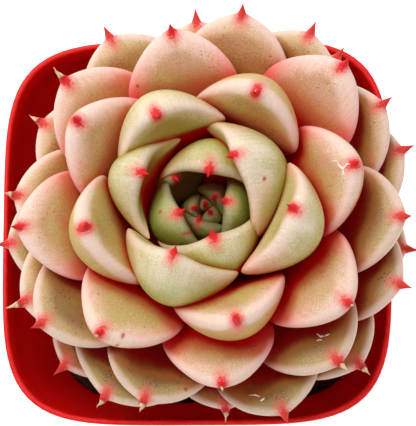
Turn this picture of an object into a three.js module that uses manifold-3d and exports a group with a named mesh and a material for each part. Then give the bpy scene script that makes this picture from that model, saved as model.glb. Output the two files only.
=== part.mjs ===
// A small echeveria: a tight rosette of thick, pointed, water-storing leaves on a short stem,
// rooted in gritty soil in a square plastic nursery pot. Millimetres, +Z up. The origin is the
// centre of the pot's flat underside, and +X and +Y run square to the pot's sides.

import * as THREE from 'three';
import { mergeVertices } from 'three/addons/utils/BufferGeometryUtils.js';
import Module from 'manifold-3d';

const wasm = await Module();
wasm.setup();

// Driving dimensions

const FIT_GAP = 0.3; // clear space kept between neighbouring pieces

const POT_HEIGHT = 55;
const POT_TOP_HALF = 30; // half the width over the lip
const POT_BASE_HALF = 21; // half the width of the wall at the underside
const POT_WALL = 0.8;
const POT_FLOOR = 1.2;
const POT_FOOT_CHAMFER = 0.8;
const RIM_BAND_HEIGHT = 6; // the band that stands proud under the lip
const RIM_BAND_PROUD = 0.8;
const RIM_BAND_FLARE = 0.3; // how much wider the band is at the lip than at its foot
const RIM_LIP = 0.35; // rounding over the top edge
const TOP_SQUARENESS = 4.6; // superellipse exponents: 2 is round, more is squarer
const BASE_SQUARENESS = 4;
const POT_SIDES = 48;
const DRAIN_RADIUS = 2.5;
const DRAIN_SIDES = 12;
const DRAIN_OFFSET = 10; // each drain hole's distance from both centre lines

const SOIL_TOP = 34; // well below the lip, as the soil has settled
const SOIL_RELIEF = 0.7; // height of the gritty lumps
const SOIL_EDGE = 1.2; // how far the soil's edge slumps against the wall
const SOIL_SIDES = 28;
const SOIL_TOP_RINGS = 5;

const PLANT_X = 2.7; // the plant stands a little off the pot's centre
const PLANT_Y = 1.1;
const ROOT_BOTTOM = 16; // lower end of the tap root, in its hole in the soil
const STEM_PROFILE = [ // [radius, height] up the tap root, the short stem and its leafy crown
  [2.2, ROOT_BOTTOM],
  [3.6, 28],
  [4, 34],
  [4.3, 44],
  [6, 49.5],
  [6.9, 52],
  [6.4, 55],
  [5.5, 58.5],
  [4.3, 62],
  [2.8, 64.8],
  [1.3, 66],
];
const STEM_TOP = 66.3;
const STEM_SIDES = 12;
const HOLE_RADIUS = 4.5; // the hole in the soil, wide enough for the stem where it comes out
const HOLE_SIDES = 14;

// Leaves are numbered along the spiral from the growing point outwards. Number 0 is the first
// that shows its whole tip; the few below it are the buds in the heart.
const FIRST_LEAF = -4;
const LAST_LEAF = 45;
const ZONES = [
  { name: 'heart_leaf', last: 3, colour: 0xa8ae6c },
  { name: 'inner_leaf', last: 10, colour: 0xcfc98a },
  { name: 'middle_leaf', last: 22, colour: 0xe6cfa6 },
  { name: 'outer_leaf', last: LAST_LEAF, colour: 0xcfae86 },
];
const DIVERGENCE = 137.03; // degrees from each leaf to the next older one
const FIRST_AZIMUTH = 267.9; // degrees, for leaf number 0
const GROWN_ASIDE = new Map([ // degrees by which a leaf's neighbours push it off the spiral
  [0, -18], [3, -9], [4, 1], [5, -14], [6, -3], [7, -6], [8, -4], [9, 2.5], [10, -1],
  [13, -1.5], [14, -2.5], [16, -3], [17, 1.6], [18, 3.5], [19, 2.1], [20, -1.2],
  [21, 3.5], [22, 4], [23, -1.2], [24, -4.6], [25, -2.5], [26, 5.5], [27, 6.5],
  [29, -4], [31, -1.1], [32, 2.1], [33, -4], [34, 1.6], [35, -1.5], [36, 3.5],
  [37, -2.4], [38, -6.8], [39, -10.5], [41, 2.1], [42, 1.7], [44, -8], [45, 3],
]);
const TIP_LEAN = new Map([ // sideways lean of a leaf's tip, as a share of its width
  [1, 0.05], [2, 0.05], [4, -0.04], [6, -0.07], [7, 0.19], [10, 0.2], [11, -0.1],
  [12, -0.035], [13, 0.03], [20, -0.04], [21, 0.055], [23, 0.05], [29, 0.045],
  [30, 0.06], [33, -0.04], [37, 0.125], [39, 0.05],
]);
const GROWN_LONG = new Map([ // how far a leaf's tip reaches past its neighbours'
  [1, 1], [6, 0.5], [10, 0.4], [13, -0.6], [14, 0.9], [15, 0.4], [17, 0.7], [18, -0.5],
  [20, 0.8], [21, -2.4], [22, -0.5], [23, -0.3], [26, -0.4], [27, -1.6], [29, -1.3],
  [31, -0.6], [32, -0.5], [33, 0.3], [34, 0.4], [35, -1.7], [36, -0.6], [38, -0.8],
  [39, 0.5], [42, -2.3], [44, -1.3], [45, 0.5],
]);

// How a leaf changes with its number. Each row is [leaf number, value], with straight lines
// between. Angles are degrees above level, pulls are shares of the root-to-tip distance.
const WIDTH = [
  [-4, 3], [-2, 4.6], [0, 7.8], [3, 13.4], [4, 14.8], [5, 16.2], [6, 15.6], [7, 18.2],
  [8, 17.6], [12, 17], [16, 16.6], [36, 17], [37, 19.4], [38, 17], [45, 16],
];
const THICKNESS = [
  [-4, 1.6], [-2, 2], [0, 2.6], [4, 4.2], [8, 5], [16, 5], [30, 3.8], [38, 3], [45, 2.7],
];
const CUP = [ // how far the margins rise above the middle
  [-4, 0.5], [-2, 1], [2, 2.4], [3, 3.8], [4, 4.4], [5, 6], [6, 5.8], [7, 6],
  [8, 5.2], [10, 5.6], [11, 4.6], [12, 4.4], [14, 3.8], [22, 2.3], [30, 1.2], [45, 0.5],
];
const FILL = [ // how far the flesh fills that cup, as a share of its depth
  [5, 0], [8, 0.35], [12, 0.45], [14, 0.6], [20, 0.5], [26, 0.3], [32, 0],
];
const TAPER = [[4, 0.95], [10, 0.88], [18, 0.78], [26, 0.62]]; // less makes the leaf's end blunter
const TIP_RADIUS = [
  [-4, 0.6], [-3, 1], [-2, 1.6], [-1, 2], [0, 2.2], [1, 4.6], [2, 3.2], [3, 3.4],
  [4, 4.1], [5, 5.5], [6, 8.3], [7, 6.6], [8, 8.8], [9, 13], [10, 12.5],
  [11, 16.8], [12, 17.2], [16, 24.1], [20, 28.3], [25, 30], [32, 31.3], [45, 31.1],
];
const TIP_HEIGHT = [
  [-4, 68.6], [-2, 69.6], [0, 71.2], [2, 74.2], [4, 77.4], [5, 77.6], [8, 81.5],
  [9, 81.5], [12, 80], [16, 76], [20, 72], [25, 67.8], [32, 63.4], [38, 60.4], [45, 57.6],
];
const BASE_HEIGHT = [[-4, 65.6], [20, 57.6], [45, 50.8]];
const BASE_RISE = [
  [-4, 75], [-2, 62], [2, 45], [6, 38], [7, 31], [8, 27], [9, 37], [10, 38], [11, 22],
  [12, 17], [20, 9], [30, 2], [45, -4],
];
const TIP_RISE = [
  [-4, 95], [0, 128], [3, 142], [7, 142], [8, 137], [9, 119], [10, 123], [11, 98],
  [12, 104], [13, 88], [14, 80], [16, 64], [18, 52], [20, 52], [25, 42], [32, 30], [45, 16],
];
const BASE_PULL = [[-4, 0.45], [2, 0.5], [4, 0.5], [8, 0.56], [20, 0.42], [45, 0.38]];
const TIP_PULL = [[-4, 0.3], [4, 0.45], [8, 0.45], [20, 0.38], [45, 0.33]];
const BASE_SINK = 1; // how far a leaf's root starts inside the stem's skin, before it is cut back

const WIDEST_AT = 0.66; // where along a leaf it is widest, as a share of its length
const NECK_WIDTH = 0.23; // width of a leaf's root, as a share of its full width
const NECK_THICKNESS = 0.36;
const CUPPED_BY = 0.55; // share of the length by which a leaf has its full cup
const UPPER_SHARE = 0.4; // share of the thickness on the upper side of the margins
const UPPER_ROUND = 1.1; // more draws the upper face down towards the margins
const LOWER_ROUND = 1;
const MUCRO_RADIUS = [[4, 0.5], [16, 0.58], [26, 0.78]]; // the hard point on each leaf's tip
const MUCRO_LENGTH = [[4, 1.3], [12, 1.5], [20, 1.8], [28, 2.4]];
const MUCRO_TAPER = 1.4;
const LONG_POINTS = new Map([[22, 1.2], [26, 0.5], [32, 0.8]]); // added to single points' lengths
const LEAF_SIDES = 8;
const LEAF_STATIONS = [0, 0.2, 0.38, 0.54, 0.68, 0.81, 0.93, 1];
const MUCRO_STATION = 0.45; // the one ring between a mucro's root and its point

// Small helpers

// Value of a table of [leaf number, value] rows at one leaf number.
function at(table, number) {
  const upper = table.findIndex(([key]) => key >= number);
  if (upper === 0) return table[0][1];
  if (upper < 0) return table[table.length - 1][1];
  const [lowKey, lowValue] = table[upper - 1];
  const [highKey, highValue] = table[upper];
  return THREE.MathUtils.mapLinear(number, lowKey, highKey, lowValue, highValue);
}

function middleOf(ring) {
  const middle = new THREE.Vector3();
  for (const point of ring) middle.add(point);
  return middle.divideScalar(ring.length);
}

// Closed solid through equal rings of points, which run anticlockwise as seen from the last
// ring. Its end is drawn out to a point where one is given.
function loft(rings, point = middleOf(rings[rings.length - 1])) {
  const count = rings[0].length;
  const corners = [...rings.flat(), middleOf(rings[0]), point];
  const startIndex = corners.length - 2;
  const endIndex = corners.length - 1;
  const lastRing = (rings.length - 1) * count;
  const indices = [];
  for (let j = 0; j < count; j += 1) {
    const next = (j + 1) % count;
    indices.push(startIndex, next, j);
    indices.push(endIndex, lastRing + j, lastRing + next);
    for (let i = 0; i < lastRing; i += count) {
      const a = i + j;
      const b = i + next;
      indices.push(a, b, b + count, a, b + count, a + count);
    }
  }
  const geometry = new THREE.BufferGeometry().setFromPoints(corners);
  geometry.setIndex(indices);
  return geometry;
}

// A three.js geometry as a solid that can be cut and joined.
function toSolid(geometry) {
  const bare = geometry.clone();
  bare.deleteAttribute('normal');
  bare.deleteAttribute('uv');
  const merged = mergeVertices(bare, 1e-4);
  return new wasm.Manifold(new wasm.Mesh({
    numProp: 3,
    vertProperties: new Float32Array(merged.attributes.position.array),
    triVerts: new Uint32Array(merged.index.array),
  }));
}

// A solid as a three.js geometry. Where cutting left scraps, only the largest body is kept.
function toGeometry(solid) {
  const bodies = solid.decompose();
  bodies.sort((a, b) => b.volume() - a.volume());
  const mesh = bodies[0].getMesh();
  const geometry = new THREE.BufferGeometry();
  geometry.setAttribute('position', new THREE.Float32BufferAttribute(mesh.vertProperties, 3));
  geometry.setIndex(new THREE.Uint32BufferAttribute(mesh.triVerts, 1));
  return geometry;
}

function finished(name, geometry, colour, roughness) {
  geometry.computeVertexNormals();
  const material = new THREE.MeshStandardMaterial({ color: colour, roughness, metalness: 0 });
  const mesh = new THREE.Mesh(geometry, material);
  mesh.name = name;
  return mesh;
}

// Square outline with round corners and slightly bowed sides.
function squareRing(half, squareness, z, sides) {
  const ring = [];
  for (let j = 0; j < sides; j += 1) {
    const angle = (2 * Math.PI * (j + 0.5)) / sides;
    const cos = Math.cos(angle);
    const sin = Math.sin(angle);
    const spread = Math.abs(cos) ** squareness + Math.abs(sin) ** squareness;
    const reach = half / spread ** (1 / squareness);
    ring.push(new THREE.Vector3(reach * cos, reach * sin, z));
  }
  return ring;
}

function squarenessAt(z) {
  return THREE.MathUtils.mapLinear(z, 0, POT_HEIGHT, BASE_SQUARENESS, TOP_SQUARENESS);
}

// Outer half width of the pot's tapered wall, below the rim band.
function wallHalf(z) {
  const underBand = POT_TOP_HALF - RIM_BAND_FLARE - RIM_BAND_PROUD;
  return THREE.MathUtils.mapLinear(z, 0, POT_HEIGHT - RIM_BAND_HEIGHT, POT_BASE_HALF, underBand);
}

// Pot

// The pot's wall as [half width, height] from the underside up, over the lip and down inside.
// grow makes it fatter all round, for cutting room for it.
function potProfile(grow) {
  const bandFoot = POT_HEIGHT - RIM_BAND_HEIGHT;
  const bandHalf = POT_TOP_HALF - RIM_BAND_FLARE;
  return [
    [wallHalf(0) - POT_FOOT_CHAMFER + grow, -grow],
    [wallHalf(POT_FOOT_CHAMFER) + grow, POT_FOOT_CHAMFER - grow],
    [wallHalf(bandFoot) + grow, bandFoot - grow],
    [bandHalf + grow, bandFoot + RIM_BAND_PROUD - grow],
    [POT_TOP_HALF + grow, POT_HEIGHT - RIM_LIP],
    [POT_TOP_HALF - RIM_LIP + grow, POT_HEIGHT + grow],
    [POT_TOP_HALF - POT_WALL - grow, POT_HEIGHT + grow],
    [POT_TOP_HALF - POT_WALL - RIM_LIP - grow, POT_HEIGHT - RIM_LIP],
    [wallHalf(bandFoot) - POT_WALL - grow, bandFoot],
    [wallHalf(POT_FLOOR) - POT_WALL - grow, POT_FLOOR + grow],
  ];
}

function potShell(grow) {
  return loft(potProfile(grow).map(([half, z]) => squareRing(half, squarenessAt(z), z, POT_SIDES)));
}

function buildPot() {
  let shell = toSolid(potShell(0));
  for (const sideX of [-1, 1]) {
    for (const sideY of [-1, 1]) {
      const length = 4 * POT_FLOOR;
      const drill = new THREE.CylinderGeometry(DRAIN_RADIUS, DRAIN_RADIUS, length, DRAIN_SIDES);
      drill.rotateX(Math.PI / 2);
      drill.translate(sideX * DRAIN_OFFSET, sideY * DRAIN_OFFSET, POT_FLOOR / 2);
      shell = shell.subtract(toSolid(drill));
    }
  }
  return finished('pot', toGeometry(shell), 0xc3101c, 0.4);
}

// Soil

// Height of the soil's lumpy top over its mean level.
function soilRelief(x, y) {
  const coarse = Math.sin(0.52 * x + 1.3) * Math.cos(0.47 * y - 0.4);
  const fine = Math.sin(1.31 * x - 0.7 * y) * Math.cos(1.13 * y + 0.6 * x);
  return SOIL_RELIEF * (0.6 * coarse + 0.4 * fine);
}

function buildSoil() {
  const inset = POT_WALL + FIT_GAP;
  const side = (z) => squareRing(wallHalf(z) - inset, squarenessAt(z), z, SOIL_SIDES);
  const rings = [side(POT_FLOOR + FIT_GAP), side(SOIL_TOP - SOIL_EDGE)];
  for (let i = 0; i < SOIL_TOP_RINGS; i += 1) {
    const share = 1 - i / SOIL_TOP_RINGS;
    const half = (wallHalf(SOIL_TOP) - inset - SOIL_EDGE / 3) * share;
    const squareness = THREE.MathUtils.lerp(2, squarenessAt(SOIL_TOP), share);
    const ring = squareRing(half, squareness, SOIL_TOP, SOIL_SIDES);
    for (const point of ring) point.z += soilRelief(point.x, point.y);
    rings.push(ring);
  }
  const holeBottom = ROOT_BOTTOM - FIT_GAP;
  const holeTop = SOIL_TOP + 2 * SOIL_RELIEF;
  const length = holeTop - holeBottom;
  const hole = new THREE.CylinderGeometry(HOLE_RADIUS, HOLE_RADIUS, length, HOLE_SIDES);
  hole.rotateX(Math.PI / 2);
  hole.translate(PLANT_X, PLANT_Y, holeBottom + length / 2);
  const solid = toSolid(loft(rings)).subtract(toSolid(hole));
  return finished('soil', toGeometry(solid), 0x3b2a20, 0.95);
}

// Stem

// The stem on the plant's own axis. grow makes it fatter all round, for cutting room for it.
function stemGeometry(grow) {
  const outline = [
    new THREE.Vector2(0, ROOT_BOTTOM - grow),
    ...STEM_PROFILE.map(([radius, z]) => new THREE.Vector2(radius + grow, z)),
    new THREE.Vector2(0, STEM_TOP + grow),
  ];
  const geometry = new THREE.LatheGeometry(outline, STEM_SIDES);
  geometry.rotateX(Math.PI / 2);
  return geometry;
}

// Radius of the stem's skin at one height of its crown.
function stemRadius(z) {
  return at(STEM_PROFILE.map(([radius, height]) => [height, radius]), z);
}

// Leaves

function azimuth(number) {
  return FIRST_AZIMUTH - DIVERGENCE * number + (GROWN_ASIDE.get(number) ?? 0);
}

// The leaf's middle line, in the upright plane of its own frame: x is outwards, y is up.
function leafSpine(number) {
  const baseHeight = at(BASE_HEIGHT, number);
  const start = new THREE.Vector2(Math.max(stemRadius(baseHeight) - BASE_SINK, 0), baseHeight);
  const reach = at(TIP_RADIUS, number) + (GROWN_LONG.get(number) ?? 0);
  const end = new THREE.Vector2(reach, at(TIP_HEIGHT, number));
  const chord = start.distanceTo(end);
  const arm = (rise, pull) => {
    const angle = THREE.MathUtils.degToRad(at(rise, number));
    return new THREE.Vector2(Math.cos(angle), Math.sin(angle)).multiplyScalar(at(pull, number) * chord);
  };
  return new THREE.CubicBezierCurve(
    start,
    start.clone().add(arm(BASE_RISE, BASE_PULL)),
    end.clone().sub(arm(TIP_RISE, TIP_PULL)),
    end,
  );
}

// Width and thickness of a leaf at a share of its length, as shares of the full ones.
function leafOutline(share, taper) {
  if (share < WIDEST_AT) {
    const rise = THREE.MathUtils.smoothstep(share, 0, WIDEST_AT);
    return {
      width: NECK_WIDTH + (1 - NECK_WIDTH) * rise ** 0.9,
      thickness: NECK_THICKNESS + (1 - NECK_THICKNESS) * rise,
    };
  }
  const fall = (share - WIDEST_AT) / (1 - WIDEST_AT);
  const body = Math.max(1 - fall ** 2.4, 0) ** 0.6;
  return {
    width: Math.max(1 - fall ** 2.2, 0) ** taper,
    thickness: body * (NECK_THICKNESS + (1 - NECK_THICKNESS) * body),
  };
}

// How far a leaf's hard point stands out from the blade's end.
function mucroLength(number) {
  return at(MUCRO_LENGTH, number) + (LONG_POINTS.get(number) ?? 0);
}

// Radius of a hard point at a distance in front of (or, if negative, behind) the blade's end.
function mucroRadius(number, distance) {
  const left = THREE.MathUtils.clamp(1 - distance / mucroLength(number), 0, 2);
  return at(MUCRO_RADIUS, number) * left ** MUCRO_TAPER;
}

// One leaf in its own frame. grow makes it fatter all round, for cutting room for it.
function leafGeometry(number, grow) {
  const spine = leafSpine(number);
  const length = spine.getLength();
  const halfWidth = at(WIDTH, number) / 2;
  const fullThickness = at(THICKNESS, number);
  const lean = (TIP_LEAN.get(number) ?? 0) * 2 * halfWidth;
  const fill = at(FILL, number);

  // A point beside and above the middle line; past its end the line runs straight on.
  const place = (share, past, side, lift) => {
    const point = spine.getPointAt(share);
    const tangent = spine.getTangentAt(share);
    return new THREE.Vector3(
      point.x + tangent.x * past - tangent.y * lift,
      side + lean * share * share,
      point.y + tangent.y * past + tangent.x * lift,
    );
  };

  const ringAt = (share, past) => {
    const { width, thickness } = leafOutline(share, at(TAPER, number));
    const spike = mucroRadius(number, past + (share - 1) * length);
    const blend = (blade) => Math.cbrt(blade ** 3 + spike ** 3) + grow;
    const across = blend(width * halfWidth);
    const upper = blend(thickness * fullThickness * UPPER_SHARE);
    const lower = blend(thickness * fullThickness * (1 - UPPER_SHARE));
    const cup = at(CUP, number) * THREE.MathUtils.smoothstep(share, 0, CUPPED_BY);
    const ring = [];
    for (let j = 0; j < LEAF_SIDES; j += 1) {
      const angle = (2 * Math.PI * j) / LEAF_SIDES;
      const side = across * Math.cos(angle);
      const sin = Math.sin(angle);
      const flesh = cup * fill * (across * sin / halfWidth) ** 2;
      const skin = sin > 0 ? upper * sin ** UPPER_ROUND + flesh : -lower * (-sin) ** LOWER_ROUND;
      ring.push(place(share, past, side, skin + cup * (side / halfWidth) ** 2));
    }
    return ring;
  };

  const rings = LEAF_STATIONS.map((share) => ringAt(share, 0));
  rings.push(ringAt(1, MUCRO_STATION * mucroLength(number)));
  return loft(rings, place(1, mucroLength(number) + grow, 0, 0));
}

// The leaves, each cut back from the stem, the pot's rim and every younger leaf it presses on.
function buildLeaves() {
  const taken = [toSolid(stemGeometry(FIT_GAP))];
  taken.push(toSolid(potShell(FIT_GAP)).translate([-PLANT_X, -PLANT_Y, 0]));
  const meshes = [];
  for (let number = FIRST_LEAF; number <= LAST_LEAF; number += 1) {
    const turn = azimuth(number);
    let leaf = toSolid(leafGeometry(number, 0)).rotate([0, 0, turn]);
    for (const room of taken) leaf = leaf.subtract(room);
    taken.push(toSolid(leafGeometry(number, FIT_GAP)).rotate([0, 0, turn]));
    const zone = ZONES.find(({ last }) => number <= last);
    const label = String(number - FIRST_LEAF + 1).padStart(2, '0');
    const geometry = toGeometry(leaf.rotate([0, 0, -turn]));
    const mesh = finished(`${zone.name}_${label}`, geometry, zone.colour, 0.55);
    mesh.rotation.z = THREE.MathUtils.degToRad(turn);
    meshes.push(mesh);
  }
  return meshes;
}

// Assembly

const plant = new THREE.Group();
plant.position.set(PLANT_X, PLANT_Y, 0);
plant.add(finished('stem', toGeometry(toSolid(stemGeometry(0))), 0x7a6a48, 0.8));
plant.add(...buildLeaves());

const echeveria = new THREE.Group();
echeveria.add(buildPot(), buildSoil(), plant);

export default echeveria;
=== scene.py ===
"""Looks for a small echeveria in a square plastic nursery pot.

The sizes of the plant and the pot are given in millimetres, as a grower would, and each mesh is
turned to metres as it is drawn. Every piece lies where the node it stands for lies.
"""

import logging
import math
import random
from collections.abc import Callable, Iterable, Mapping, Sequence
from dataclasses import dataclass, field
from enum import Enum
from typing import TypeVar

import bmesh
import bpy
from mathutils import Matrix, Vector, noise
from mathutils.bvhtree import BVHTree


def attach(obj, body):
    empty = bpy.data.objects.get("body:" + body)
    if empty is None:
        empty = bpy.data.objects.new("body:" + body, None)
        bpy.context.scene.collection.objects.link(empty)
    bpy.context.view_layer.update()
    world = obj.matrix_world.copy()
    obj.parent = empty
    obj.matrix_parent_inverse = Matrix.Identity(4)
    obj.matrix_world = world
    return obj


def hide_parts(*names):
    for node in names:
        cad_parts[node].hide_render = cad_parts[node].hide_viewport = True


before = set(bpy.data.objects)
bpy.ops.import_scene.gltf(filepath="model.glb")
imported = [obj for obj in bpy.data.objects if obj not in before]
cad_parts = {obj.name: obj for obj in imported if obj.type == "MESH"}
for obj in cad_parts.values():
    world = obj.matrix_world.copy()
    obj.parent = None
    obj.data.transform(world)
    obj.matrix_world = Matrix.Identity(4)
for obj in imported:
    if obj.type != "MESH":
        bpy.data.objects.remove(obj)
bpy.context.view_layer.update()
log = logging.getLogger("echeveria")

MM = 0.001
NOISE_SEED = 7

# Where the lamp stands, in metres; the leaves' painted shadows fall away from it too
LAMP = (-0.18, 0.24, 0.54)

# What each vertex of a leaf holds, as LeafSkin explains
LEAF_VALUES = (
    "along", "edge", "skin", "aside", "behind", "ruddy", "dull", "scorch", "dried", "up", "sky",
)
MARK_NAMES = ("mark_one", "mark_two")

Table = tuple[tuple[float, float], ...]
Colour = tuple[float, float, float, float]
Place = tuple[float, float]
Stroke = tuple[Place, ...]
Row = TypeVar("Row")


def at(table: Table, number: float) -> float:
    """Reads a table of (key, value) rows, with straight lines between them.

    Args:
        table: The rows, in rising order of their keys.
        number: The key to read at.

    Returns:
        The value there, or the nearest end's value outside the table.
    """
    low_key, low_value = table[0]
    for key, value in table:
        if key >= number:
            if key == low_key:
                return value
            return low_value + (value - low_value) * max(number - low_key, 0) / (key - low_key)
        low_key, low_value = key, value
    return low_value


def smoothstep(value: float, low: float, high: float) -> float:
    """Rises smoothly from 0 at low to 1 at high."""
    share = min(max((value - low) / (high - low), 0.0), 1.0)
    return share * share * (3 - 2 * share)


def around(reach: float, angle: float, z: float = 0.0) -> Vector:
    """Gives the place at a distance and a direction from the upright axis, and at a height."""
    return Vector((reach * math.cos(angle), reach * math.sin(angle), z))


def spiral(count: int) -> list[tuple[float, float]]:
    """Spreads points over a disc with a radius of 1, and gives each one's reach and direction."""
    golden = math.pi * (3 - math.sqrt(5))
    return [(math.sqrt((index + 0.5) / count), golden * index) for index in range(count)]


def square_reach(angle: float, squareness: float) -> float:
    """Gives how far a rounded square with a half width of 1 reaches in one direction."""
    spread = abs(math.cos(angle)) ** squareness + abs(math.sin(angle)) ** squareness
    return spread ** (-1 / squareness)


def paint(red: int, green: int, blue: int) -> Colour:
    """Turns a colour as it looks on a screen into a linear one, by the standard screen curve.

    Args:
        red: The red part, from 0 to 255.
        green: The green part.
        blue: The blue part.

    Returns:
        The linear colour, each part from 0 to 1.
    """
    parts = []
    for part in (red, green, blue):
        shown = part / 255
        parts.append(shown / 12.92 if shown <= 0.04045 else ((shown + 0.055) / 1.055) ** 2.4)
    return (parts[0], parts[1], parts[2], 1.0)


# Shader building


@dataclass(frozen=True)
class Value:
    """A shader socket that takes part in Python arithmetic by adding Math nodes."""

    dressing: "Dressing"
    socket: bpy.types.NodeSocket

    def __add__(self, other: "Value | float") -> "Value":
        """Adds."""
        return self.dressing.maths("ADD", self, other)

    __radd__ = __add__

    def __mul__(self, other: "Value | float") -> "Value":
        """Multiplies."""
        return self.dressing.maths("MULTIPLY", self, other)

    __rmul__ = __mul__

    def __sub__(self, other: "Value | float") -> "Value":
        """Subtracts the other from this."""
        return self.dressing.maths("SUBTRACT", self, other)

    def __rsub__(self, other: float) -> "Value":
        """Subtracts this from a number."""
        return self.dressing.maths("SUBTRACT", other, self)

    def __pow__(self, power: float) -> "Value":
        """Raises this to a power."""
        return self.dressing.maths("POWER", self, power)

    def rise(self, low: float, high: float) -> "Value":
        """Rises smoothly from 0 at low to 1 at high, or falls where high is below low.

        Args:
            low: The value that gives 0.
            high: The value that gives 1.

        Returns:
            The value between 0 and 1.
        """
        if low > high:
            return 1 - self.rise(high, low)
        return self.dressing.node(
            "ShaderNodeMapRange",
            {"interpolation_type": "SMOOTHSTEP"},
            {"Value": self, "From Min": low, "From Max": high},
            "Result",
        )


class Dressing:
    """A material in the making: its node tree, and its colour, which is laid on in coats."""

    def __init__(self, name: str, colour: Colour, **surface: float | tuple[float, ...]) -> None:
        """Starts a material.

        Args:
            name: The material's name.
            colour: Its lowest coat.
            surface: What is the same all over, by the surface shader's socket names with
                spaces as underscores.
        """
        self.colour: Value | Colour = colour
        self.material = bpy.data.materials.new(name)
        self.material.use_nodes = True
        self.tree = self.material.node_tree
        self.tree.nodes.clear()
        self.surface = self.tree.nodes.new("ShaderNodeBsdfPrincipled")
        for socket, value in surface.items():
            self.surface.inputs[socket.replace("_", " ")].default_value = value
        output = self.tree.nodes.new("ShaderNodeOutputMaterial")
        self.tree.links.new(self.surface.outputs["BSDF"], output.inputs["Surface"])

    def node(
        self,
        kind: str,
        settings: Mapping[str, object] | None = None,
        inputs: Mapping[str | int, object] | None = None,
        output: str | int = 0,
    ) -> Value:
        """Adds one node.

        Args:
            kind: The node's type.
            settings: Its own settings, set before its sockets.
            inputs: A value or a link for each socket, by name or number.
            output: Which output is wanted.

        Returns:
            That output.
        """
        made = self.tree.nodes.new(kind)
        for key, value in (settings or {}).items():
            setattr(made, key, value)
        for key, value in (inputs or {}).items():
            if isinstance(value, Value):
                self.tree.links.new(value.socket, made.inputs[key])
            else:
                made.inputs[key].default_value = value
        return Value(self, made.outputs[output])

    def maths(self, operation: str, *values: Value | float) -> Value:
        """Adds a Math node."""
        return self.node("ShaderNodeMath", {"operation": operation}, dict(enumerate(values)))

    def attribute(self, name: str, output: str = "Fac") -> Value:
        """Reads one of the piece's own attributes."""
        return self.node("ShaderNodeAttribute", {"attribute_name": name}, output=output)

    def coordinates(self) -> Value:
        """Gives places on the piece in metres."""
        return self.node("ShaderNodeTexCoord", output="Object")

    def stretched(self, vector: Value, scale: tuple[float, float, float]) -> Value:
        """Scales the places that a pattern is read at."""
        return self.node("ShaderNodeMapping", None, {"Vector": vector, "Scale": scale})

    def mottle(self, vector: Value, scale: float, detail: float = 2.0, rough: float = 0.5) -> Value:
        """Adds cloudy noise from 0 to 1, mostly near a half."""
        inputs = {"Vector": vector, "Scale": scale, "Detail": detail, "Roughness": rough}
        return self.node("ShaderNodeTexNoise", None, inputs, "Fac")

    def dots(self, vector: Value, scale: float) -> Value:
        """Gives the distance to the nearest of many scattered points, as a share of their spacing."""
        return self.node("ShaderNodeTexVoronoi", None, {"Vector": vector, "Scale": scale}, "Distance")

    def coat(self, colour: Colour, share: Value) -> None:
        """Lays a colour over what is there: none of it at share 0, and all at 1."""
        settings = {"data_type": "RGBA", "clamp_factor": True}
        self.colour = self.node("ShaderNodeMix", settings, {0: share, 6: self.colour, 7: colour}, 2)

    def finish(self, roughness: Value, height: Value, depth: float) -> bpy.types.Material:
        """Links what varies over the surface, once it has a coat or more.

        Args:
            roughness: The roughness.
            height: The height of the fine relief, from 0 to 1.
            depth: How high a relief of 1 stands, in millimetres.

        Returns:
            The finished material.
        """
        inputs = {"Height": height, "Distance": depth * MM}
        normal = self.node("ShaderNodeBump", None, inputs, "Normal")
        varied = {"Base Color": self.colour, "Roughness": roughness, "Normal": normal}
        for socket, value in varied.items():
            self.tree.links.new(value.socket, self.surface.inputs[socket])
        return self.material


class LeafSkin(Dressing):
    """A leaf's material in the making, with the values and patterns that its coats share.

    Each vertex of a leaf holds these values:

    - `along`, how far along the leaf it is: 1 where the blade ends and the hard point starts;
    - `edge`, how far inside the margin it is, in millimetres;
    - `skin`, here `side`, which side it is on: 1 is the middle of the upper one, -1 of the lower;
    - `aside` and `behind`, how far it is from the keel and behind the point, in sizes of the
      point's red spot;
    - `up` and `sky`, how far it faces up, and how much of the sky and the lamp it sees;
    - `ruddy`, `scorch`, `dried` and its darkening, partly painted shade, each the same all over the leaf.

    The patterns lie on the leaf's own `blade` coordinates: millimetres across and along it.
    """

    def __init__(self, name: str, colour: Colour) -> None:
        """Starts the material, reads the values and lays the patterns.

        Args:
            name: The material's name.
            colour: Its lowest coat.
        """
        super().__init__(
            name,
            colour,
            Subsurface_Weight=0.1,
            Subsurface_Radius=(1.0, 0.35, 0.2),
            Subsurface_Scale=MM,
            Specular_IOR_Level=0.24,
        )
        (
            self.along, self.edge, self.side, self.aside, self.behind, self.ruddy, self.dull,
            self.scorch, self.dried, self.up, self.sky,
        ) = (self.attribute(value) for value in LEAF_VALUES)
        self.blade = self.attribute("blade", "Vector")
        self.cloud = self.mottle(self.blade, 0.26, 3.0)
        self.streak = self.mottle(self.stretched(self.blade, (1.9, 0.16, 1.0)), 1.0, 3.0)
        self.grain = self.mottle(self.blade, 2.8, 3.0, 0.7)
        self.fine = self.mottle(self.blade, 6.5, 2.0, 0.7)


# Finishes


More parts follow.
